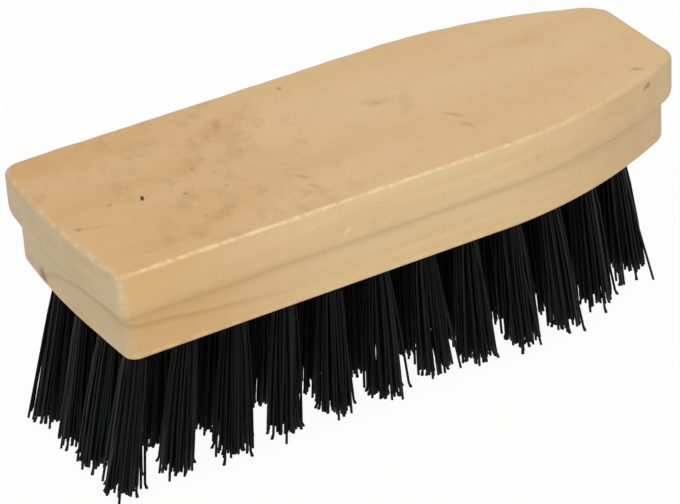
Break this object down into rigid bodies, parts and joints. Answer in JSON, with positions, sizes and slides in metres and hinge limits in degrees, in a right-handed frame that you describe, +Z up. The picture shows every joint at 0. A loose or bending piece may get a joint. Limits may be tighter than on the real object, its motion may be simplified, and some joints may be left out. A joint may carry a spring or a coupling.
{
  "type": "hoof brush",
  "caption": "Wooden hoof brush with a tapered nose, a stepped grip and fanned tufts of stiff black bristle stapled into its underside.",
  "frame": {"origin": "on the floor under the middle of the whole brush, which stands on its bristle tips", "axes": "+X along the length towards the narrow nose, +Y across the width, +Z up out of the flat top of the block"},
  "size_m": [0.1734, 0.065, 0.0706],
  "materials": {
    "lacquered_wood": "clear satin lacquer",
    "black_filament": "extruded, semi-matt",
    "staple_wire": "drawn wire"
  },
  "bodies": {
    "root": {"wooden_block": "lacquered_wood", "bristle_row_1": "black_filament", "bristle_row_2": "black_filament", "bristle_row_3": "black_filament", "bristle_row_4": "black_filament", "staple_1_1": "staple_wire", "staple_1_2": "staple_wire", "staple_1_3": "staple_wire", "staple_1_4": "staple_wire", "staple_1_5": "staple_wire", "staple_1_6": "staple_wire", "staple_1_7": "staple_wire", "staple_1_8": "staple_wire", "staple_1_9": "staple_wire", "staple_1_10": "staple_wire", "staple_1_11": "staple_wire", "staple_1_12": "staple_wire", "staple_2_1": "staple_wire", "staple_2_2": "staple_wire", "staple_2_3": "staple_wire", "staple_2_4": "staple_wire", "staple_2_5": "staple_wire", "staple_2_6": "staple_wire", "staple_2_7": "staple_wire", "staple_2_8": "staple_wire", "staple_2_9": "staple_wire", "staple_2_10": "staple_wire", "staple_2_11": "staple_wire", "staple_2_12": "staple_wire", "staple_3_1": "staple_wire", "staple_3_2": "staple_wire", "staple_3_3": "staple_wire", "staple_3_4": "staple_wire", "staple_3_5": "staple_wire", "staple_3_6": "staple_wire", "staple_3_7": "staple_wire", "staple_3_8": "staple_wire", "staple_3_9": "staple_wire", "staple_3_10": "staple_wire", "staple_3_11": "staple_wire", "staple_3_12": "staple_wire", "staple_4_1": "staple_wire", "staple_4_2": "staple_wire", "staple_4_3": "staple_wire", "staple_4_4": "staple_wire", "staple_4_5": "staple_wire", "staple_4_6": "staple_wire", "staple_4_7": "staple_wire", "staple_4_8": "staple_wire", "staple_4_9": "staple_wire", "staple_4_10": "staple_wire", "staple_4_11": "staple_wire", "staple_4_12": "staple_wire"}
  },
  "joints": []
}
